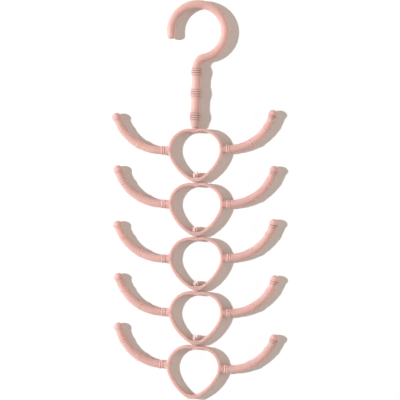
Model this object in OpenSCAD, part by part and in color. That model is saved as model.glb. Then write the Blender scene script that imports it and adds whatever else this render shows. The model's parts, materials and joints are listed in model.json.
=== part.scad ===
// Scarf hanger: a hook with a bamboo-look shank and five alike heart tiers with two arms each,
// snapped one under the other. Sizes in mm, +Z up, front towards -Y, origin at the centre of the eye.

/* [Hook] */
// Radius of the eye, from its centre to the middle of the rod
eye_r = 28.6; // [22:0.1:36]
// Diameter of the rod that the hook is bent from
rod_d = 8.6; // [7:0.1:9.5]
// How much thicker the plastic is at the hook's free end, in its neck bend and at an arm's root
bend_swell = 0.1; // [0.04:0.02:0.6]
// Where the free end of the eye stops, counted anticlockwise from the right
mouth_angle = 190; // [150:1:215]
// Radius of the bend that brings the rod back over the shank
neck_bend_r = 9.4; // [6:0.1:14]
// Drop from the centre of the eye to the lower end of the shank
shank_drop = 101.6; // [98:0.1:130]
// Diameter of the shank between its nodes
shank_d = 9.6; // [9:0.1:10.2]
// Diameter of the shank's lower end, round the snap socket
shank_end_d = 8.4; // [8.2:0.1:10]
// Length over which the shank's lower end tapers
shank_end_l = 4.5; // [3:0.1:5.5]

/* [Bamboo nodes] */
// Height of the lowest node above the lower end of the shank
low_node_z = 11.5; // [10.5:0.1:14]
// Height of the middle node
mid_node_z = 36.4; // [30:0.1:42]
// Height of the top node
top_node_z = 58.8; // [56:0.1:61]
// Diameter over a node of the shank
shank_node_d = 12; // [10.6:0.1:13]
// Length of a node of the shank
shank_node_l = 12; // [9:0.1:14]
// Diameter over the node at the root of an arm
root_node_d = 9.6; // [8.8:0.1:10.4]
// Diameter over the other nodes of an arm
arm_node_d = 9.1; // [8.6:0.1:10]
// Length of a node of an arm
arm_node_l = 8; // [6.5:0.1:9]
// Growth rings cut round a node of the shank
shank_rings = 4; // [1:1:4]
// Growth rings cut round a node of an arm
arm_rings = 3; // [1:1:3]
// Distance between neighbouring growth rings
groove_step = 2.4; // [2:0.1:3]
// Width of a growth ring
groove_w = 0.8; // [0.5:0.1:1.2]

/* [Heart ring] */
// Radius of the outside of each lobe
lobe_r = 22.25; // [20:0.05:26]
// Distance of each lobe's centre from the middle of the ring
lobe_x = 6.4; // [5:0.1:9]
// Angle below the arms at which a lobe runs into the lower side
side_angle = 23.7; // [18:0.1:30]
// Radius of the outside of the lower sides
side_r = 51; // [46:0.1:64]
// Thickness of the ring's wall
ring_wall = 3.1; // [2.4:0.1:4]
// Depth of the ring, front to back
ring_depth = 8.7; // [8.2:0.1:11]
// Half the width of the flat under the tip
tip_flat = 3.4; // [2.8:0.1:4]

/* [Arms] */
// Diameter of an arm
arm_d = 8.1; // [7:0.1:8.4]
// Distance from the middle of the ring to the point where an arm starts to rise
arm_rise_x = 34.3; // [33:0.1:40]
// Radius that an arm is bent to
arm_bend_r = 50.2; // [44:0.1:60]
// Angle that an arm turns through
arm_sweep = 73.4; // [60:0.1:85]
// Place of the middle node, as an angle along the bend
mid_node_angle = 29.8; // [22:0.1:36]
// Place of the outer node, as an angle along the bend
outer_node_angle = 57; // [48:0.1:60]
// Distance from the middle of the ring to the root node
root_node_x = 34.4; // [33.5:0.1:35.5]
// Diameter of the round end of an arm
knob_d = 9.7; // [8.8:0.1:11]

/* [Snap joints] */
// Diameter of the pin's neck
pin_d = 5.4; // [5:0.1:5.6]
// Diameter over the pin's barbs
barb_d = 6.6; // [6.3:0.1:6.8]
// Length of the barbs, from their underside to the top of the pin
barb_l = 5.1; // [4:0.1:6]
// Length of the bore that a pin snaps through
seat_l = 4.6; // [4:0.1:5.5]
// Width of the slot that splits the pin
slot_w = 1.5; // [1.2:0.1:1.8]
// Diameter of the collar that the tier above sits on
collar_d = 7; // [6.8:0.1:8.6]
// Height of the collar over the tops of the lobes
collar_rise = 0.9; // [0.15:0.05:1.5]
// Least clearance between a pin and its bore
run_gap = 0.07; // [0.05:0.01:0.15]
// Room that the socket in the shank leaves over the pin
socket_room = 0.6; // [0.3:0.1:1]

/* [Pose at rest] */
// Number of degrees that the hook leans to the right in its snap
hook_lean = 1.9; // [0:0.1:4]
// Number of degrees that the top tier leans to the right
tier_1_lean = -1.1; // [-1.5:0.1:1.5]
// Number of degrees that the second tier leans to the right
tier_2_lean = 0.2; // [-1.5:0.1:1.5]
// Number of degrees that the third tier leans to the right
tier_3_lean = -0.6; // [-1.5:0.1:1.5]
// Number of degrees that the fourth tier leans to the right
tier_4_lean = 0.9; // [0:0.1:1.5]
// Number of degrees that the lowest tier leans to the right
tier_5_lean = 4.4; // [0:0.1:4.4]

/* [Hidden] */
$fn = 96;
plastic = "#f3b9ae";
cut = 1;                                  // how far a cutting tool runs past a face
overlap = 0.4;                            // how far stretches of a rod run into each other
node_sink = 0.4;                          // how much slimmer than its rod a node's ends are, inside it
end_flat = 0.02;                          // how much a round end is flattened at its tip
max_lean = 4.4;                           // the snap leaves room for a lean of this many degrees
groove_depth_share = 0.5;                 // a growth ring is cut as deep as this share of its width
pin_gap = run_gap + seat_l / 2 * tan(max_lean);
seat_gap = run_gap + barb_d / 2 * sin(max_lean);
bore_d = pin_d + 2 * pin_gap;
chamber_d = barb_d + 2 * pin_gap;

// Middles of the arcs of the ring's lower sides, from the arcs' smooth start on the lobes
side_x = lobe_x + (lobe_r - side_r) * cos(side_angle);
side_z = -(lobe_r - side_r) * sin(side_angle);
tip_z = side_z - sqrt(pow(side_r, 2) - pow(tip_flat - side_x, 2));

// Heights in a tier, counted from the level of its arms
collar_top = lobe_r + collar_rise;
barb_z = collar_top + 2 * seat_gap + seat_l;
snap_z = collar_top + seat_gap + seat_l / 2;
pitch = collar_top + seat_gap - tip_z;

// The line of pieces from the eye down: how far each one's snap lies below the last, and its lean
links = concat([shank_drop - seat_l / 2], [for (i = [1 : 4]) pitch]);
leans = [hook_lean, tier_1_lean, tier_2_lean, tier_3_lean, tier_4_lean, tier_5_lean];

// Place of the snap that carries a tier, counted from 1: each piece leans about the snap over it
function snap_place(count) = count == 0 ? [0, 0, 0]
    : snap_place(count - 1) - links[count - 1] * [sin(leans[count - 1]), 0, cos(leans[count - 1])];

// A ball for the end of a rod, with a tiny flat at its tip, towards +Z
module round_end(ball_d) {
    rotate_extrude() intersection() {
        circle(d = ball_d);
        translate([0, -ball_d / 2]) square([ball_d, ball_d - end_flat]);
    }
}

// A bamboo node round the Z axis: a swelling with growth rings cut round it
module bamboo_node(core_d, peak_d, length, rings) {
    swell = (peak_d - core_d + node_sink) / 2;
    arc_r = (pow(length / 2, 2) + pow(swell, 2)) / (2 * swell);
    rotate_extrude() difference() {
        intersection() {
            translate([peak_d / 2 - arc_r, 0]) circle(r = arc_r);
            translate([0, -length / 2]) square([peak_d, length]);
        }
        for (i = [0 : rings - 1]) {
            ring_z = (i - (rings - 1) / 2) * groove_step;
            ring_x = peak_d / 2 - arc_r + sqrt(pow(arc_r, 2) - pow(ring_z, 2));
            translate([ring_x + groove_w / 2 * (1 - 2 * groove_depth_share), ring_z])
                circle(d = groove_w, $fn = 24);
        }
    }
}

// A heart outline, moved inwards by inset and cut off flat at floor_z
module heart(inset, floor_z) {
    r = lobe_r - inset;
    join_z = -r * sin(side_angle);
    width = 4 * lobe_r;
    intersection() {
        union() {
            for (side = [-1, 1]) translate([side * lobe_x, 0]) circle(r = r);
            intersection() {
                translate([side_x, side_z]) circle(r = side_r - inset);
                translate([-side_x, side_z]) circle(r = side_r - inset);
                translate([-width / 2, join_z - width]) square(width);
            }
        }
        translate([-width / 2, floor_z]) square(width);
    }
}

// The ring, standing in the XZ plane, with the flat seat over its tip
module heart_ring() {
    rotate([90, 0, 0]) linear_extrude(ring_depth, center = true) difference() {
        heart(0, tip_z);
        heart(ring_wall, tip_z + seat_l);
    }
}

// The right arm: a straight root, the bend, a bamboo node at three places and the round end
module arm() {
    root_x = lobe_x + lobe_r - ring_wall / 2;
    translate([root_x, 0, 0]) rotate([0, 90, 0])
        cylinder(d = arm_d + bend_swell, h = arm_rise_x + overlap - root_x);
    translate([arm_rise_x, 0, arm_bend_r]) rotate([90, 0, 0]) rotate([0, 0, -90])
        rotate_extrude(angle = arm_sweep) translate([arm_bend_r, 0]) circle(d = arm_d);
    translate([root_node_x, 0, 0]) rotate([0, 90, 0])
        bamboo_node(arm_d, root_node_d, arm_node_l, arm_rings);
    for (angle = [mid_node_angle, outer_node_angle])
        along_arm(angle) bamboo_node(arm_d, arm_node_d, arm_node_l, arm_rings);
    along_arm(arm_sweep) round_end(knob_d);
}

// Puts its child on the middle line of the right arm's bend, its Z axis along the arm
module along_arm(angle) {
    translate([arm_rise_x, 0, arm_bend_r]) rotate([0, -angle, 0]) translate([0, 0, -arm_bend_r])
        rotate([0, 90, 0]) children();
}

// The collar on the ring's cleft and the split pin with its two barbs
module snap_pin() {
    slot_floor = collar_top + slot_w / 2;
    pin_top = barb_z + barb_l;
    sunk_z = lobe_r - ring_wall / 2;
    barb_band = barb_l / 4;
    translate([0, 0, sunk_z]) cylinder(d = collar_d, h = collar_top - sunk_z);
    difference() {
        union() {
            translate([0, 0, sunk_z]) cylinder(d = pin_d, h = barb_z + barb_band - sunk_z);
            translate([0, 0, barb_z]) cylinder(d = barb_d, h = barb_band);
            translate([0, 0, barb_z + barb_band])
                cylinder(d1 = barb_d, d2 = pin_d - slot_w / 2, h = barb_l - barb_band);
        }
        translate([-slot_w / 2, -barb_d, slot_floor]) cube([slot_w, 2 * barb_d, pin_top]);
    }
}

// One tier, with the level of its arms at Z = 0
module tier() {
    difference() {
        union() {
            heart_ring();
            arm();
            mirror([1, 0, 0]) arm();
        }
        translate([0, 0, tip_z - cut]) cylinder(d = bore_d, h = seat_l + 2 * cut);
        rotate([90, 0, 0]) linear_extrude(2 * ring_depth, center = true)
            heart(ring_wall, tip_z + seat_l);
    }
    snap_pin();
}

// A tier in its place in the stack, counted from 1
module placed_tier(count) {
    color(plastic) translate(snap_place(count)) rotate([0, leans[count], 0])
        translate([0, 0, -snap_z]) tier();
}

// The eye, from the free end to the neck, then the bend over the shank
module hook_bend() {
    bend_drop = sqrt(pow(eye_r + neck_bend_r, 2) - pow(neck_bend_r, 2));
    meet_angle = atan2(bend_drop, neck_bend_r);
    over_angle = overlap / neck_bend_r * 180 / PI;
    rotate([90, 0, 0]) rotate([0, 0, -meet_angle])
        rotate_extrude(angle = mouth_angle + meet_angle) translate([eye_r, 0]) circle(d = rod_d);
    rotate([0, -mouth_angle, 0]) translate([eye_r, 0, 0]) round_end(rod_d + bend_swell);
    translate([neck_bend_r, 0, -bend_drop]) rotate([90, 0, 0])
        rotate([0, 0, 180 - meet_angle - over_angle])
            rotate_extrude(angle = meet_angle + 2 * over_angle) translate([neck_bend_r, 0])
                circle(d = rod_d + bend_swell);
    translate([0, 0, shank_end_l - shank_drop])
        cylinder(d = rod_d, h = shank_drop - shank_end_l - bend_drop);
}

// The hook and its shank, with the blind socket for the top tier's pin
module hook() {
    color(plastic) rotate([0, hook_lean, 0]) difference() {
        union() {
            hook_bend();
            translate([0, 0, -shank_drop]) {
                cylinder(d1 = shank_end_d, d2 = shank_d, h = shank_end_l);
                translate([0, 0, shank_end_l]) cylinder(d = shank_d, h = top_node_z - shank_end_l);
                for (height = [low_node_z, mid_node_z, top_node_z])
                    translate([0, 0, height]) bamboo_node(shank_d, shank_node_d, shank_node_l, shank_rings);
            }
        }
        translate([0, 0, -shank_drop - cut]) cylinder(d = bore_d, h = seat_l + cut);
        translate([0, 0, -shank_drop + seat_l])
            cylinder(d = chamber_d, h = seat_gap + barb_l + socket_room);
    }
}

hook();
placed_tier(1);  // tier_1
placed_tier(2);  // tier_2
placed_tier(3);  // tier_3
placed_tier(4);  // tier_4
placed_tier(5);  // tier_5
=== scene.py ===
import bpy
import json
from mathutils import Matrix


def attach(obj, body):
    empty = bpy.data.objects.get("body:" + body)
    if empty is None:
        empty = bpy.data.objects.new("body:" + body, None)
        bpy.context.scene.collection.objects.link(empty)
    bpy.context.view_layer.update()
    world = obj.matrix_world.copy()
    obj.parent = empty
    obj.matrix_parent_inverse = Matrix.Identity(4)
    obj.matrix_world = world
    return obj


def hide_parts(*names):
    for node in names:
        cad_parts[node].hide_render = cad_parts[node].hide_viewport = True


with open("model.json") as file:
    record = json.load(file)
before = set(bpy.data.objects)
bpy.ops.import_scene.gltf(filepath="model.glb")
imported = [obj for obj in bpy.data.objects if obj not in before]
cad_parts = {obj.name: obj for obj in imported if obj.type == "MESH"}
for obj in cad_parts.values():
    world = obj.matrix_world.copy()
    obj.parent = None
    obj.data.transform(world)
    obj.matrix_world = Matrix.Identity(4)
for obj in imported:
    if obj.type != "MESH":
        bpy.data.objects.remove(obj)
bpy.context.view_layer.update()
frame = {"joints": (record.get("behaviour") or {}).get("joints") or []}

import json
import math

import bmesh
import bpy
from bpy.props import FloatProperty, FloatVectorProperty, PointerProperty
from mathutils import Matrix, Vector

bl_info = {
    "name": "Scarf hanger",
    "version": (1, 0, 0),
    "blender": (4, 5, 0),
    "location": "3D View > Sidebar > Hanger",
    "description": "Builds the moulded hook and heart tiers of a scarf hanger in satin plastic",
    "category": "Object",
}

TIER_JOINTS = sorted(frame["joints"], key=lambda joint: joint["child"])
FRONT = Vector((0, -1, 0))
FAR_PAST = 0.002  # how far a cutting tool runs past a face, in metres
WELD = 0.000002  # points that lie closer together than this become one, in metres
PATH_STEP = 0.0003  # distance between the points of a rod's path, in metres
SHARP_ANGLE = math.radians(38)  # an edge that bends more than this stays sharp
RING_MARK = "growth_ring"  # vertex attribute, 1 in the middle of a growth ring

# How many parts the round shapes are divided into
ROD_SIDES = 48
ROD_END_STEPS = 24
TURNED_SIDES = 64
LOBE_STEPS = 110
SIDE_STEPS = 60
FLOOR_STEPS = 8
RIM_STEPS = 6
EDGE_STEPS = 5
PIN_TOP_STEPS = 10
SLOT_STEPS = 16
CORNER_PASSES = 2  # how often the corners of the heart's outline are eased


def length(name, default, description):
    return FloatProperty(name=name, description=description, default=default, unit='LENGTH', precision=5)


def turn(name, degrees, description):
    return FloatProperty(name=name, description=description, default=math.radians(degrees), subtype='ANGLE')


def share(name, default, description):
    return FloatProperty(name=name, description=description, default=default, min=0, max=1)


def number(name, default, description):
    return FloatProperty(name=name, description=description, default=default)


def three_lengths(name, default, description):
    return FloatVectorProperty(name=name, description=description, default=default, size=3, unit='LENGTH')


def colour(name, default, description):
    return FloatVectorProperty(name=name, description=description, default=default, size=len(default),
                               subtype='COLOR')


class HangerHook(bpy.types.PropertyGroup):
    """Sizes of the hook and its shank."""
    eye_radius: length("Eye radius", 0.0286, "From the centre of the eye to the middle of the rod")
    rod_radius: length("Rod radius", 0.0043, "Radius of the rod that the hook is bent from")
    shank_radius: length("Shank radius", 0.0048, "Radius of the shank between its nodes")
    mouth_angle: turn("Mouth angle", 190, "Where the free end stops, anticlockwise from the right")
    neck_radius: length("Neck bend", 0.0094, "Radius of the bend over the shank")
    shank_drop: length("Shank drop", 0.1016, "From the eye's centre to the lower end of the shank")
    end_radius: length("End radius", 0.0041, "Radius of the shank's lower end")
    end_length: length("End taper", 0.0050, "Length over which the shank's lower end narrows")
    end_round: length("End rounding", 0.0012, "Rounding of the shank's lower edge")
    node_heights: three_lengths("Node heights", (0.0115, 0.0364, 0.0588), "Nodes over the shank's end")
    node_radii: three_lengths("Node radii", (0.00622, 0.00612, 0.00596), "Greatest radius of each node")
    node_reach: length("Node reach", 0.0078, "Half the length of a node of the shank")
    inner_ring: length("Inner ring", 0.0012, "From a node's middle to its inner growth rings")
    outer_ring: length("Outer ring", 0.0036, "From a node's middle to its outer growth rings")
    ring_width: length("Ring width", 0.0009, "Half the width of a growth ring")
    ring_depth: length("Ring depth", 0.0006, "Depth of a growth ring")


class HangerTier(bpy.types.PropertyGroup):
    """Sizes of a tier: the heart ring and its two arms."""
    lobe_radius: length("Lobe radius", 0.02225, "Radius of the outside of each lobe")
    lobe_offset: length("Lobe offset", 0.0064, "From the middle of the ring to each lobe's centre")
    side_angle: turn("Side angle", 23.7, "Below the arms, where a lobe runs into the lower side")
    side_radius: length("Side radius", 0.051, "Radius of the outside of the lower sides")
    wall: length("Wall", 0.0031, "Thickness of the ring's wall")
    depth: length("Depth", 0.0087, "Depth of the ring, front to back")
    rim_round: length("Rim rounding", 0.0009, "Rounding of the ring's front and back edges")
    tip_flat: length("Tip flat", 0.0034, "Half the width of the flat under the tip")
    arm_radius: length("Arm radius", 0.00405, "Radius of an arm between its nodes")
    arm_rise: length("Arm rise", 0.0343, "From the middle of the ring to the start of the bend")
    arm_bend: length("Arm bend", 0.0502, "Radius that an arm is bent to")
    arm_sweep: turn("Arm sweep", 73.4, "Angle that an arm turns through")
    root_node: length("Root node", 0.0344, "From the middle of the ring to the root node")
    mid_node: turn("Middle node", 29.8, "Place of the middle node along the bend")
    outer_node: turn("Outer node", 57, "Place of the outer node along the bend")
    node_radii: three_lengths("Node radii", (0.0048, 0.00455, 0.0045), "Greatest radius of each node")
    node_reach: length("Node reach", 0.0044, "Half the length of a node of an arm")
    ring_step: length("Ring step", 0.0024, "Distance between neighbouring growth rings")
    ring_width: length("Ring width", 0.00095, "Half the width of a growth ring")
    ring_depth: length("Ring depth", 0.0007, "Depth of a growth ring")
    root_radius: length("Root radius", 0.0047, "Radius of the flare where an arm leaves the ring")
    root_length: length("Root flare", 0.0030, "Length of that flare")
    knob_radius: length("Knob radius", 0.00485, "Radius of the round end of an arm")
    knob_blend: length("Knob blend", 0.0007, "Softness of the neck under the round end")


class HangerSnap(bpy.types.PropertyGroup):
    """Sizes of the split pin and its seat."""
    pin_radius: length("Pin radius", 0.0027, "Radius of the pin's neck")
    barb_radius: length("Barb radius", 0.0033, "Radius over the pin's barbs")
    barb_length: length("Barb length", 0.0051, "From the barbs' underside to the pin's top")
    seat: length("Seat", 0.0046, "Length of the bore that a pin snaps through")
    bore_radius: length("Bore radius", 0.002947, "Radius of that bore")
    chamber_radius: length("Chamber radius", 0.003547, "Radius of the shank's socket over the barbs")
    slot: length("Slot", 0.0015, "Width of the slot that splits the pin")
    collar_radius: length("Collar radius", 0.0035, "Radius of the collar round the pin's foot")
    collar_rise: length("Collar rise", 0.0009, "Height of the collar over the tops of the lobes")
    gap: length("Gap", 0.000323, "Clearance over and under the seat")
    room: length("Room", 0.0006, "Room that the shank's socket leaves over the pin")
    edge: length("Edge", 0.00025, "Rounding of the collar's and the barbs' edges")
    mouth: length("Mouth", 0.0003, "Flare at both ends of the bore")


class HangerPlastic(bpy.types.PropertyGroup):
    """Look of the plastic."""
    colour: colour("Colour", (0.72, 0.46, 0.412), "Colour of the plastic")
    rubbed_colour: colour("Rubbed colour", (0.95, 0.72, 0.66, 1), "Colour of the rubbed patches")
    rubbing: share("Rubbing", 0.10, "How strongly the rubbed patches show")
    roughness: share("Roughness", 0.52, "Roughness of the satin surface")
    unevenness: share("Unevenness", 0.05, "How much the roughness changes from place to place")
    scuffing: share("Scuffing", 0.12, "How much rougher the rubbed patches are")
    gloss: share("Gloss", 0.3, "Strength of the reflections")
    ior: number("IOR", 1.49, "Refractive index of the plastic")
    variation: share("Variation", 0.05, "How much lighter and darker the plastic gets from place to place")
    speckle: share("Speckle", 0.012, "How much lighter and darker its finest specks are")
    translucence: share("Translucence", 0.9, "Share of the light that enters the plastic")
    depth: length("Light depth", 0.005, "How far light spreads inside the plastic")
    spread: FloatVectorProperty(
        name="Spread", description="Share of that depth for red, green and blue light",
        default=(1.0, 0.7, 0.6))
    texture: length("Texture", 0.00003, "Height of the fine grain left by the mould")
    waves: length("Waves", 0.0004, "Height of the slow waves in the surface")
    # Painted shade: how much darker the plastic is painted in the growth rings' grooves, where shade falls.
    painted_ring_shade: share("Ring shade", 0.55, "How much darker the plastic looks in its growth rings")


class HangerStage(bpy.types.PropertyGroup):
    """Camera, lamps and backdrop."""
    distance: length("Camera distance", 2.2, "From the camera to the hanger")
    lens: number("Lens", 187.6, "Focal length on a 36 mm sensor")
    view_depth: length("View depth", 50, "How far the camera sees")
    centre: three_lengths("Centre", (0.0021, 0, -0.1781), "Point in the middle of the picture")
    backdrop_gap: length("Backdrop", 0.0064, "From the middle of the hook to the surface behind it")
    backdrop_tilt: turn("Backdrop tilt", 0.25, "How far the surface leans towards the lowest tier")
    backdrop_half: length("Backdrop size", 1.6, "Half the width and height of that surface")
    paint: share("Paint", 0.95, "Whiteness of that surface")
    glow: share("Glow", 0.04, "Light that the surface adds where it is looked at")
    key_distance: length("Key distance", 6, "From the key lamp to the middle of the picture")
    key_size: length("Key size", 0.28, "Width of the key lamp")
    key_elevation: turn("Key elevation", 38.3, "Angle of the key light over the backdrop")
    key_turn: turn("Key turn", 5.8, "How far over the left-hand side the key light stands")
    key_level: number("Key level", 1.11, "Light of the key on a face turned to it")
    key_colour: colour("Key colour", (0.895, 1.0, 1.085), "Colour of the key light")
    fill_distance: length("Fill distance", 4, "From the fill lamp to the middle of the picture")
    fill_size: length("Fill size", 2.5, "Width of the fill lamp")
    fill_elevation: turn("Fill elevation", 15, "Angle of the fill light over the backdrop")
    fill_level: number("Fill level", 0.35, "Light of the fill on a face turned to it")
    sky_level: number("Sky level", 0.36, "Light from all round")
    sky_colour: colour("Sky colour", (1.0, 0.80, 0.65), "Colour of that light")
    sky_glint: share("Sky glint", 0.6, "Brightness of the sky in reflections")


class Tree:
    """Adds nodes to a node tree, so that a formula can be written as one."""

    def __init__(self, tree):
        self.tree = tree

    def add(self, kind, links=None, **settings):
        node = self.tree.nodes.new(kind)
        for name, value in settings.items():
            setattr(node, name, value)
        for socket, value in (links or {}).items():
            self.feed(node.inputs[socket], value)
        return node

    def feed(self, socket, value):
        if isinstance(value, bpy.types.NodeSocket):
            self.tree.links.new(value, socket)
        else:
            socket.default_value = value

    def math(self, operation, *values):
        node = self.add("ShaderNodeMath", dict(enumerate(values)), operation=operation)
        return node.outputs[0]

    def fade(self, value, start, end, low=0.0, high=1.0):
        """Runs smoothly from low at start to high at end."""
        node = self.add("ShaderNodeMapRange", {
            "Value": value, "From Min": start, "From Max": end, "To Min": low, "To Max": high,
        }, interpolation_type='SMOOTHSTEP')
        return node.outputs["Result"]

    def dome(self, distance, radius):
        """Half a circle's height at a distance from its start."""
        run = self.math('SUBTRACT', radius, distance)
        square = self.math('SUBTRACT', self.math('POWER', radius, 2.0), self.math('MULTIPLY', run, run))
        return self.math('SQRT', self.math('MAXIMUM', square, 0.0))


# Shares of a rod's sizes
TAPER_START = 0.8  # of the lower length, where the rod starts to change to its upper radius
NODE_CREST = 0.1  # of a node's reach, which has the node's greatest radius
OUTER_RING_DEPTH = 0.7  # of the ring depth, for the outer growth rings

NODE_SIZES = ("place", "radius", "inner ring", "outer ring")
ROD_SIZES = (
    "Radius", "Lower radius", "Lower length", "Start radius", "Start length", "Start rounding",
    "End radius", "End blend", "Node reach", "Ring width", "Ring depth",
)


def rod_tree():
    """Sweeps a round rod with three bamboo nodes along a path, its end rounded or a knob."""
    group = bpy.data.node_groups.new("Bamboo rod", "GeometryNodeTree")
    face = group.interface
    face.new_socket("Path", in_out='INPUT', socket_type="NodeSocketGeometry")
    names = list(ROD_SIZES)
    for node in "123":
        names += [f"Node {node} {what}" for what in NODE_SIZES]
    for name in names:
        face.new_socket(name, in_out='INPUT', socket_type="NodeSocketFloat")
    face.new_socket("Material", in_out='INPUT', socket_type="NodeSocketMaterial")
    face.new_socket("Rod", in_out='OUTPUT', socket_type="NodeSocketGeometry")
    t = Tree(group)
    given = t.add("NodeGroupInput").outputs
    along = t.add("GeometryNodeSplineParameter").outputs["Length"]
    whole = t.add("GeometryNodeSplineLength").outputs["Length"]
    from_end = t.math('SUBTRACT', whole, along)

    lower = given["Lower length"]
    taper = t.math('MULTIPLY', lower, TAPER_START)
    radius = t.fade(along, taper, lower, given["Lower radius"], given["Radius"])
    start = t.math('SUBTRACT', given["Start radius"], given["Lower radius"])
    radius = t.math('ADD', radius, t.fade(along, 0.0, given["Start length"], start, 0.0))
    core = radius
    cut = 0.0
    for node in "123":
        off = t.math('ABSOLUTE', t.math('SUBTRACT', along, given[f"Node {node} place"]))
        swell = t.math('SUBTRACT', given[f"Node {node} radius"], core)
        crest = t.math('MULTIPLY', given["Node reach"], NODE_CREST)
        bulge = t.fade(off, crest, given["Node reach"], swell, 0.0)
        radius = t.math('ADD', radius, bulge)
        for ring, depth_share in (("inner ring", 1.0), ("outer ring", OUTER_RING_DEPTH)):
            away = t.math('ABSOLUTE', t.math('SUBTRACT', off, given[f"Node {node} {ring}"]))
            depth = t.math('MULTIPLY', given["Ring depth"], depth_share)
            cut = t.math('MAXIMUM', cut, t.fade(away, 0.0, given["Ring width"], depth, 0.0))
    radius = t.math('SUBTRACT', radius, cut)

    rounding = given["Start rounding"]
    from_start = t.math('MINIMUM', along, rounding)
    edge = t.math('SUBTRACT', t.dome(from_start, rounding), rounding)
    radius = t.math('ADD', radius, edge)
    ball = t.math('MULTIPLY', given["End radius"], 2.0)
    knob = t.dome(t.math('MINIMUM', from_end, ball), given["End radius"])
    before_knob = t.math('GREATER_THAN', from_end, given["End radius"])
    radius = t.math('SMOOTH_MAX', t.math('MULTIPLY', radius, before_knob), knob, given["End blend"])

    # The growth ring mask, which the plastic's material uses to paint shade into the grooves.
    groove = t.math('DIVIDE', cut, given["Ring depth"])
    marked = t.add("GeometryNodeStoreNamedAttribute", {
        "Geometry": given["Path"], "Name": RING_MARK, "Value": groove}, domain='POINT')
    circle = t.add("GeometryNodeCurvePrimitiveCircle", {"Resolution": ROD_SIDES, "Radius": 1.0})
    swept = t.add("GeometryNodeCurveToMesh", {
        "Curve": marked.outputs[0], "Profile Curve": circle.outputs[0], "Scale": radius,
        "Fill Caps": True})
    joined = t.add("GeometryNodeMergeByDistance", {
        "Geometry": swept.outputs[0], "Distance": WELD})
    ground = t.add("GeometryNodeSetMaterial", {
        "Geometry": joined.outputs[0], "Material": given["Material"]})
    real = t.add("GeometryNodeRealizeInstances", {"Geometry": ground.outputs[0]})
    t.add("NodeGroupOutput", {"Rod": real.outputs[0]})
    return group


def traced(start, heading, moves, end_radius):
    """Points of a path in the XZ plane. A move is a length and the angle it turns left through.

    The last end_radius of the path has its points closer together, for the round end.
    """
    legs = []
    place, course = Vector(start), heading
    for run, bend in moves:
        legs.append((place.copy(), course, run, bend))
        place = place + leg_offset(course, run, bend, run)
        course += bend
    total = sum(run for run, _ in moves)
    count = math.ceil((total - end_radius) / PATH_STEP)
    spots = [(total - end_radius) * i / count for i in range(count)]
    for i in range(ROD_END_STEPS + 1):
        spots.append(total - end_radius * math.cos(math.pi / 2 * i / ROD_END_STEPS))
    points = []
    for spot in spots:
        left = spot
        for place, course, run, bend in legs:
            if left <= run or (place, course, run, bend) == legs[-1]:
                points.append(place + leg_offset(course, run, bend, left))
                break
            left -= run
    return points


def leg_offset(course, run, bend, done):
    """How far a leg has moved after its first part, on an arc or a straight line."""
    if bend == 0:
        return Vector((math.cos(course), 0, math.sin(course))) * done
    radius = run / bend
    now = course + bend * done / run
    return Vector((math.sin(now) - math.sin(course), 0, math.cos(course) - math.cos(now))) * radius


def linked(name, mesh):
    obj = bpy.data.objects.new(name, mesh)
    bpy.context.scene.collection.objects.link(obj)
    return obj


def swept_rod(name, points, sizes, nodes, material):
    """A plain mesh of the rod that follows the points, from the node tree."""
    curve = bpy.data.curves.new(name, 'CURVE')
    curve.dimensions = '3D'
    curve.twist_mode = 'MINIMUM'
    spline = curve.splines.new('POLY')
    spline.points.add(len(points) - 1)
    for point, place in zip(spline.points, points):
        point.co = (*place, 1)
    path = linked(name + "_path", curve)
    tree = bpy.data.node_groups.get("Bamboo rod") or rod_tree()
    modifier = path.modifiers.new("rod", 'NODES')
    modifier.node_group = tree
    values = dict(zip(ROD_SIZES, sizes))
    for number, node in enumerate(nodes, 1):
        for what, value in zip(NODE_SIZES, node):
            values[f"Node {number} {what}"] = value
    values["Material"] = material
    for item in tree.interface.items_tree:
        if item.in_out == 'INPUT' and item.name in values:
            modifier[item.identifier] = values[item.name]
    mesh = evaluated_mesh(path, name)
    bpy.data.objects.remove(path)
    bpy.data.curves.remove(curve)
    return mesh


def evaluated_mesh(obj, name):
    """The object's finished mesh, as a plain mesh of its own."""
    bpy.context.view_layer.update()
    graph = bpy.context.evaluated_depsgraph_get()
    mesh = bpy.data.meshes.new_from_object(obj.evaluated_get(graph), depsgraph=graph)
    mesh.name = name
    return mesh


def moved(mesh, matrix):
    """A copy of the mesh in another place, its faces outwards after a mirror too."""
    copy = mesh.copy()
    copy.transform(matrix)
    if matrix.determinant() < 0:
        copy.flip_normals()
    return copy


def combined(base, tool, operation):
    """One mesh from two by a boolean operation."""
    first = linked("base", base)
    second = linked("tool", tool)
    modifier = first.modifiers.new("boolean", 'BOOLEAN')
    modifier.operation = operation
    modifier.object = second
    modifier.solver = 'EXACT'
    mesh = evaluated_mesh(first, base.name)
    bpy.data.objects.remove(first)
    bpy.data.objects.remove(second)
    return mesh


def grid_mesh(name, rows, material, closed_rows=False):
    """A closed shell from rows of points, each row a loop. The ends are filled unless they meet."""
    mesh = bpy.data.meshes.new(name)
    shell = bmesh.new()
    loops = [[shell.verts.new(point) for point in row] for row in rows]
    pairs = list(zip(loops, loops[1:]))
    if closed_rows:
        pairs.append((loops[-1], loops[0]))
    for near, far in pairs:
        for i in range(len(near)):
            j = (i + 1) % len(near)
            shell.faces.new((near[i], near[j], far[j], far[i]))
    if not closed_rows:
        shell.faces.new(loops[0])
        shell.faces.new(loops[-1])
    bmesh.ops.recalc_face_normals(shell, faces=shell.faces)
    shell.to_mesh(mesh)
    shell.free()
    mesh.materials.append(material)
    return mesh


def turned(name, profile, material):
    """A solid of revolution round the Z axis from radii and heights."""
    rows = []
    for radius, height in profile:
        row = []
        for i in range(TURNED_SIDES):
            angle = 2 * math.pi * i / TURNED_SIDES
            row.append((radius * math.cos(angle), radius * math.sin(angle), height))
        rows.append(row)
    return grid_mesh(name, rows, material)


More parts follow.
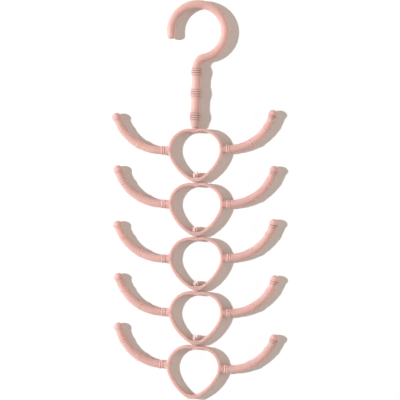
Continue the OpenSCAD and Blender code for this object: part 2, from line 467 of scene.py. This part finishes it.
def arc(centre, radius, start, end, count):
    """Points on an arc in a plane, as pairs."""
    points = []
    for i in range(count + 1):
        angle = start + (end - start) * i / count
        points.append((centre[0] + radius * math.cos(angle), centre[1] + radius * math.sin(angle)))
    return points


def half_outline(tier, inset, floor):
    """The right half of the heart, from the cleft clockwise down to the middle of the floor."""
    lobe = (tier.lobe_offset, 0)
    radius = tier.lobe_radius - inset
    away = tier.lobe_radius - tier.side_radius
    side = (lobe[0] + away * math.cos(tier.side_angle), -away * math.sin(tier.side_angle))
    side_radius = tier.side_radius - inset
    cleft = math.pi - math.acos(lobe[0] / radius)
    points = arc(lobe, radius, cleft, -tier.side_angle, LOBE_STEPS)
    low = math.asin((floor - side[1]) / side_radius)
    points += arc(side, side_radius, -tier.side_angle, low, SIDE_STEPS)[1:]
    corner = points[-1]
    points += [(corner[0] * (1 - i / FLOOR_STEPS), floor) for i in range(1, FLOOR_STEPS + 1)]
    return points


def tip_height(tier):
    """Height of the flat under the tip, from the level of the arms."""
    away = tier.lobe_radius - tier.side_radius
    side_x = tier.lobe_offset + away * math.cos(tier.side_angle)
    side_z = -away * math.sin(tier.side_angle)
    return side_z - math.sqrt(tier.side_radius ** 2 - (tier.tip_flat - side_x) ** 2)


def softened(points, passes):
    """The closed outline with its corners eased."""
    for _ in range(passes):
        count = len(points)
        points = [
            tuple((points[i - 1][k] + 2 * points[i][k] + points[(i + 1) % count][k]) / 4 for k in (0, 1))
            for i in range(count)
        ]
    return points


def ring_mesh(tier, snap, material):
    """The heart ring: a rounded bar that follows the heart, thicker over the tip's seat."""
    tip = tip_height(tier)
    outlines = []
    for inset, floor in ((0, tip), (tier.wall, tip + snap.seat)):
        half = half_outline(tier, inset, floor)
        outline = half + [(-x, z) for x, z in reversed(half[1:-1])]
        outlines.append(softened(outline, CORNER_PASSES))
    rows = []
    corner = tier.rim_round
    flat = tier.depth / 2 - corner
    for outer, inner in zip(*outlines):
        outer, inner = Vector((outer[0], 0, outer[1])), Vector((inner[0], 0, inner[1]))
        inwards = (inner - outer).normalized()
        row = []
        # Each corner of the section is a quarter turn, from the wall's face to its rim or back.
        corners = (
            (outer, inwards, FRONT, 0), (inner, -inwards, FRONT, 1),
            (inner, -inwards, -FRONT, 0), (outer, inwards, -FRONT, 1),
        )
        for edge, towards, rim, start in corners:
            for i in range(RIM_STEPS + 1):
                angle = math.pi / 2 * abs(start - i / RIM_STEPS)
                sunk = corner * (1 - math.cos(angle))
                out = flat + corner * math.sin(angle)
                row.append(edge + towards * sunk + rim * out)
        rows.append(row)
    return grid_mesh("ring", rows, material, closed_rows=True)


def pin_mesh(tier, snap, material):
    """The collar and the split pin with its two barbs."""
    foot = tier.lobe_radius - tier.wall / 2
    collar = tier.lobe_radius + snap.collar_rise
    barb = collar + 2 * snap.gap + snap.seat
    top = barb + snap.barb_length
    ease = snap.edge
    tip = snap.pin_radius - snap.slot / 4
    profile = [(snap.collar_radius, foot), (snap.collar_radius, collar - ease)]
    profile += arc((snap.collar_radius - ease, collar - ease), ease, 0, math.pi / 2, EDGE_STEPS)[1:]
    profile += [(snap.pin_radius, collar), (snap.pin_radius, barb)]
    profile += arc((snap.barb_radius - ease, barb + ease), ease, -math.pi / 2, 0, EDGE_STEPS)
    shoulder = barb + snap.barb_length / 4
    for i in range(1, PIN_TOP_STEPS + 1):
        up = math.pi / 2 * i / PIN_TOP_STEPS
        radius = snap.barb_radius + (tip - snap.barb_radius) * (1 - math.cos(up))
        profile.append((radius, shoulder + (top - 2 * ease - shoulder) * math.sin(up)))
    profile += arc((tip - 2 * ease, top - 2 * ease), 2 * ease, 0, math.pi / 2, EDGE_STEPS)[1:]
    pin = turned("pin", profile, material)
    slot = bar_mesh("slot", snap.slot, 4 * snap.barb_radius, collar + snap.slot / 2, top + FAR_PAST,
                    material)
    return combined(pin, slot, 'DIFFERENCE')


def bar_mesh(name, width, depth, low, high, material):
    """An upright bar round the Z axis with a round underside, for cutting a slot."""
    across = width / 2
    section = arc((0, low + across), across, -math.pi, 0, SLOT_STEPS)
    section += [(across, high), (-across, high)]
    rows = [[(x, y, z) for x, z in section] for y in (-depth / 2, depth / 2)]
    return grid_mesh(name, rows, material)


def arm_mesh(tier, material):
    """The right arm, from inside the ring's wall to the round end."""
    root = tier.lobe_offset + tier.lobe_radius - tier.wall / 2
    straight = tier.arm_rise - root
    bend = tier.arm_sweep * tier.arm_bend
    knob = tier.knob_radius
    moves = [(straight, 0), (bend, tier.arm_sweep), (knob, 0)]
    points = traced((root, 0, 0), 0, moves, knob)
    places = (
        tier.root_node - root,
        straight + tier.mid_node * tier.arm_bend,
        straight + tier.outer_node * tier.arm_bend,
    )
    nodes = [(place, radius, 0, tier.ring_step) for place, radius in zip(places, tier.node_radii)]
    flare = tier.root_length + tier.wall / 2
    sizes = (
        tier.arm_radius, tier.arm_radius, straight, tier.root_radius, flare, 0, knob, tier.knob_blend,
        tier.node_reach, tier.ring_width, tier.ring_depth,
    )
    return swept_rod("arm", points, sizes, nodes, material)


def tier_mesh(tier, snap, material):
    """One tier, with the level of its arms at height zero."""
    arm = arm_mesh(tier, material)
    mirror = Matrix.Scale(-1, 4, (1, 0, 0))
    whole = combined(ring_mesh(tier, snap, material), arm, 'UNION')
    whole = combined(whole, moved(arm, mirror), 'UNION')
    whole = combined(whole, pin_mesh(tier, snap, material), 'UNION')
    tip = tip_height(tier)
    flared = snap.bore_radius + snap.mouth + FAR_PAST
    bore = turned("bore", [
        (flared, tip - FAR_PAST), (snap.bore_radius, tip + snap.mouth),
        (snap.bore_radius, tip + snap.seat - snap.mouth), (flared, tip + snap.seat + FAR_PAST)], material)
    whole = combined(whole, bore, 'DIFFERENCE')
    finish_mesh(whole)
    return whole


def hook_mesh(hook, snap, material):
    """The hook: eye, neck and shank in one rod, with the snap socket in its lower end."""
    drop = math.sqrt((hook.eye_radius + hook.neck_radius) ** 2 - hook.neck_radius ** 2)
    meet = math.atan2(drop, hook.neck_radius)
    end = hook.rod_radius
    shank = hook.shank_drop - drop
    moves = [
        (shank, 0),
        (hook.neck_radius * meet, -meet),
        (hook.eye_radius * (hook.mouth_angle + meet), hook.mouth_angle + meet),
        (end, 0),
    ]
    points = traced((0, 0, -hook.shank_drop), math.pi / 2, moves, end)
    nodes = [(place, radius, hook.inner_ring, hook.outer_ring)
             for place, radius in zip(hook.node_heights, hook.node_radii)]
    sizes = (
        hook.rod_radius, hook.shank_radius, shank, hook.end_radius, hook.end_length, hook.end_round,
        end, 0, hook.node_reach, hook.ring_width, hook.ring_depth,
    )
    rod = swept_rod("hook", points, sizes, nodes, material)
    low = -hook.shank_drop
    roof = low + snap.seat + snap.gap + snap.barb_length + snap.room
    socket = turned("socket", [
        (snap.bore_radius + FAR_PAST, low - FAR_PAST), (snap.bore_radius, low),
        (snap.bore_radius, low + snap.seat), (snap.chamber_radius, low + snap.seat),
        (snap.chamber_radius, roof)], material)
    rod = combined(rod, socket, 'DIFFERENCE')
    finish_mesh(rod)
    return rod


def finish_mesh(mesh):
    """Smooth shading with true edges kept sharp."""
    mesh.shade_smooth()
    mesh.set_sharp_from_angle(angle=SHARP_ANGLE)


# Stretches of a noise texture's values that a pattern fades over
CLOUD_VALUES = (0.3, 0.7)
SPECK_VALUES = (0.35, 0.65)
SCUFF_VALUES = (0.62, 0.74)


def satin_plastic(look):
    """Soft-gloss moulded plastic: faint clouding, fine grain, rubbed patches, hairline scuffs and painted
    shade in the growth rings.
    """
    material = bpy.data.materials.new("satin_plastic")
    material.use_nodes = True
    t = Tree(material.node_tree)
    t.tree.nodes.clear()
    place = t.add("ShaderNodeTexCoord").outputs["Object"]

    def noise(scale, detail, stretch=(1, 1, 1)):
        mapped = t.add("ShaderNodeMapping", {"Vector": place, "Scale": stretch}).outputs[0]
        node = t.add("ShaderNodeTexNoise", {"Vector": mapped, "Scale": scale, "Detail": detail})
        return node.outputs["Fac"]

    clouds = noise(scale=28.0, detail=3.0)
    specks = noise(scale=1400.0, detail=1.0)
    light = t.math('ADD', t.fade(clouds, *CLOUD_VALUES, 1 - look.variation, 1 + look.variation),
                   t.fade(specks, *SPECK_VALUES, -look.speckle, look.speckle))
    # Painted shade: the plastic is darkened in the growth rings' grooves, standing in for the shade that
    # falls in them.
    ring = t.add("ShaderNodeAttribute", attribute_name=RING_MARK).outputs["Fac"]
    shade = t.math('SUBTRACT', 1.0, t.math('MULTIPLY', ring, look.painted_ring_shade))
    light = t.math('MULTIPLY', light, shade)
    tint = t.add("ShaderNodeVectorMath", {0: look.colour, "Scale": light}, operation='SCALE')
    scuffs = t.fade(noise(scale=90.0, detail=4.0, stretch=(1, 1, 7)), *SCUFF_VALUES)
    rubbed = t.add("ShaderNodeMix", {
        "Factor": t.math('MULTIPLY', scuffs, look.rubbing), "A": tint.outputs[0],
        "B": look.rubbed_colour}, data_type='RGBA')
    patches = t.fade(noise(scale=60.0, detail=3.0), *CLOUD_VALUES,
                     look.roughness - look.unevenness, look.roughness + look.unevenness)
    roughness = t.math('ADD', patches, t.math('MULTIPLY', scuffs, look.scuffing))
    grain = t.add("ShaderNodeBump", {
        "Height": noise(scale=900.0, detail=2.0), "Distance": look.texture, "Strength": 0.5})
    waves = t.add("ShaderNodeBump", {
        "Height": noise(scale=70.0, detail=1.0), "Distance": look.waves, "Strength": 0.25,
        "Normal": grain.outputs[0]})
    plastic = t.add("ShaderNodeBsdfPrincipled", {
        "Base Color": rubbed.outputs["Result"], "Roughness": roughness, "Normal": waves.outputs[0],
        "IOR": look.ior, "Specular IOR Level": look.gloss, "Subsurface Weight": look.translucence,
        "Subsurface Scale": look.depth, "Subsurface Radius": look.spread})
    t.add("ShaderNodeOutputMaterial", {"Surface": plastic.outputs[0]})
    return material


def backdrop_paint(stage):
    """Matt white that shows the shadows, and is clear from behind."""
    material = bpy.data.materials.new("backdrop_white")
    material.use_nodes = True
    t = Tree(material.node_tree)
    t.tree.nodes.clear()
    seen = t.add("ShaderNodeLightPath").outputs["Is Camera Ray"]
    paint = t.add("ShaderNodeBsdfDiffuse", {"Color": (stage.paint, stage.paint, stage.paint, 1)})
    glow = t.add("ShaderNodeEmission", {
        "Color": (1.0, 1.0, 1.0, 1), "Strength": t.math('MULTIPLY', seen, stage.glow)})
    front = t.add("ShaderNodeAddShader", {0: paint.outputs[0], 1: glow.outputs[0]})
    clear = t.add("ShaderNodeBsdfTransparent")
    behind = t.add("ShaderNodeNewGeometry").outputs["Backfacing"]
    both = t.add("ShaderNodeMixShader", {0: behind, 1: front.outputs[0], 2: clear.outputs[0]})
    t.add("ShaderNodeOutputMaterial", {"Surface": both.outputs[0]})
    return material


def backdrop(stage):
    """The surface behind the hanger, which leans a little towards the lowest tier."""
    mesh = bpy.data.meshes.new("backdrop")
    half = stage.backdrop_half
    slope = math.tan(stage.backdrop_tilt)
    corners = [(x, stage.backdrop_gap + z * slope, z) for x, z in
               ((-half, -half), (half, -half), (half, half), (-half, half))]
    mesh.from_pydata(corners, [], [(0, 1, 2, 3)])
    mesh.materials.append(backdrop_paint(stage))
    linked("backdrop", mesh)


def studio_sky(stage):
    """An even warm sky, white where it is looked at."""
    world = bpy.data.worlds.new("studio_sky")
    bpy.context.scene.world = world
    world.use_nodes = True
    t = Tree(world.node_tree)
    t.tree.nodes.clear()
    rays = t.add("ShaderNodeLightPath").outputs
    seen = t.math('MAXIMUM', rays["Is Camera Ray"], rays["Is Transmission Ray"])
    seen = t.math('MAXIMUM', seen, t.math('MULTIPLY', rays["Is Glossy Ray"], stage.sky_glint))
    strength = t.math('MAXIMUM', seen, stage.sky_level)
    tone = t.add("ShaderNodeMix", {"Factor": seen, "A": (*stage.sky_colour, 1), "B": (1, 1, 1, 1)},
                 data_type='RGBA')
    sky = t.add("ShaderNodeBackground", {"Color": tone.outputs["Result"], "Strength": strength})
    t.add("ShaderNodeOutputWorld", {"Surface": sky.outputs[0]})


def area_lamp(name, place, target, size, level):
    """A square lamp that gives a white face turned to it this much light."""
    lamp = bpy.data.lights.new(name, 'AREA')
    distance = (target - place).length
    lamp.size = size
    lamp.energy = level * (math.pi * distance) ** 2
    obj = linked(name, lamp)
    obj.location = place
    obj.rotation_euler = (target - place).to_track_quat('-Z', 'Y').to_euler()
    return lamp


def studio_lamps(stage, centre):
    """A small key lamp on the left and a wide, low fill lamp on the right."""
    flat = math.cos(stage.key_elevation)
    towards = Vector((-flat * math.cos(stage.key_turn), -math.sin(stage.key_elevation),
                      flat * math.sin(stage.key_turn)))
    key = area_lamp("key_lamp", centre + towards * stage.key_distance, centre, stage.key_size,
                    stage.key_level)
    key.color = stage.key_colour
    aside = Vector((math.cos(stage.fill_elevation), -math.sin(stage.fill_elevation), 0))
    area_lamp("fill_lamp", centre + aside * stage.fill_distance, centre, stage.fill_size,
              stage.fill_level)


def front_camera(stage, centre):
    """The camera, level and straight in front."""
    camera = bpy.data.cameras.new("camera")
    camera.lens = stage.lens
    camera.clip_end = stage.view_depth
    eye = linked("camera", camera)
    eye.location = centre + FRONT * stage.distance
    eye.rotation_euler = (math.pi / 2, 0, 0)
    bpy.context.scene.camera = eye


def plastic_material():
    look = bpy.context.scene.hanger_plastic
    return bpy.data.materials.get("satin_plastic") or satin_plastic(look)


def dressed(name, mesh, body, node):
    """Puts a moulding in place of its solid."""
    piece = linked(name, mesh)
    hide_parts(node)
    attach(piece, body)
    return piece


def lean_about(place, angle):
    """A turn to the right, seen from the front, about a place in the XZ plane."""
    return Matrix.Translation(place) @ Matrix.Rotation(angle, 4, 'Y')


class OBJECT_OT_hanger_hook(bpy.types.Operator):
    """Build the hook and its shank with the bamboo nodes"""
    bl_idname = "object.hanger_hook"
    bl_label = "Build the hook"

    def execute(self, context):
        scene = context.scene
        mesh = hook_mesh(scene.hanger_hook, scene.hanger_snap, plastic_material())
        snap = TIER_JOINTS[0]["pos_m"]
        mesh.transform(lean_about((0, 0, 0), math.atan2(-snap[0], -snap[2])))
        dressed("hook_moulding", mesh, "hook", "hook")
        return {'FINISHED'}


class OBJECT_OT_hanger_tiers(bpy.types.Operator):
    """Build the heart tiers and hang them under the hook"""
    bl_idname = "object.hanger_tiers"
    bl_label = "Build the tiers"

    def execute(self, context):
        scene = context.scene
        tier, snap = scene.hanger_tier, scene.hanger_snap
        mesh = tier_mesh(tier, snap, plastic_material())
        snap_height = tier.lobe_radius + snap.collar_rise + snap.gap + snap.seat / 2
        for joint in TIER_JOINTS:
            body, axis = joint["child"], joint["axis"]
            lean = math.atan2(axis[0], axis[2])
            place = lean_about(joint["pos_m"], lean) @ Matrix.Translation((0, 0, -snap_height))
            dressed(body + "_moulding", moved(mesh, place), body, body)
        return {'FINISHED'}


class OBJECT_OT_hanger_stage(bpy.types.Operator):
    """Set up the backdrop, the lamps and the camera"""
    bl_idname = "object.hanger_stage"
    bl_label = "Set the stage"

    def execute(self, context):
        scene = context.scene
        stage = scene.hanger_stage
        centre = Vector(stage.centre)
        backdrop(stage)
        studio_sky(stage)
        studio_lamps(stage, centre)
        front_camera(stage, centre)
        scene.view_settings.view_transform = 'Standard'
        return {'FINISHED'}


class VIEW3D_PT_hanger(bpy.types.Panel):
    """The hanger's buttons and sizes in the sidebar"""
    bl_idname = "VIEW3D_PT_hanger"
    bl_label = "Scarf hanger"
    bl_space_type = 'VIEW_3D'
    bl_region_type = 'UI'
    bl_category = "Hanger"

    def draw(self, context):
        for operator in OPERATORS:
            self.layout.operator(operator.bl_idname)
        for name in SETTINGS:
            settings = getattr(context.scene, name)
            box = self.layout.box()
            for field in settings.bl_rna.properties:
                if field.identifier not in {"rna_type", "name"}:
                    box.prop(settings, field.identifier)


SETTINGS = {
    "hanger_hook": HangerHook,
    "hanger_tier": HangerTier,
    "hanger_snap": HangerSnap,
    "hanger_plastic": HangerPlastic,
    "hanger_stage": HangerStage,
}
OPERATORS = (OBJECT_OT_hanger_hook, OBJECT_OT_hanger_tiers, OBJECT_OT_hanger_stage)
CLASSES = (*SETTINGS.values(), *OPERATORS, VIEW3D_PT_hanger)


def register():
    for item in CLASSES:
        bpy.utils.register_class(item)
    for name, group in SETTINGS.items():
        setattr(bpy.types.Scene, name, PointerProperty(type=group))


def unregister():
    for name in SETTINGS:
        delattr(bpy.types.Scene, name)
    for item in reversed(CLASSES):
        bpy.utils.unregister_class(item)


def main():
    register()
    bpy.ops.object.hanger_hook()
    bpy.ops.object.hanger_tiers()
    bpy.ops.object.hanger_stage()


if __name__ == "__main__":
    main()
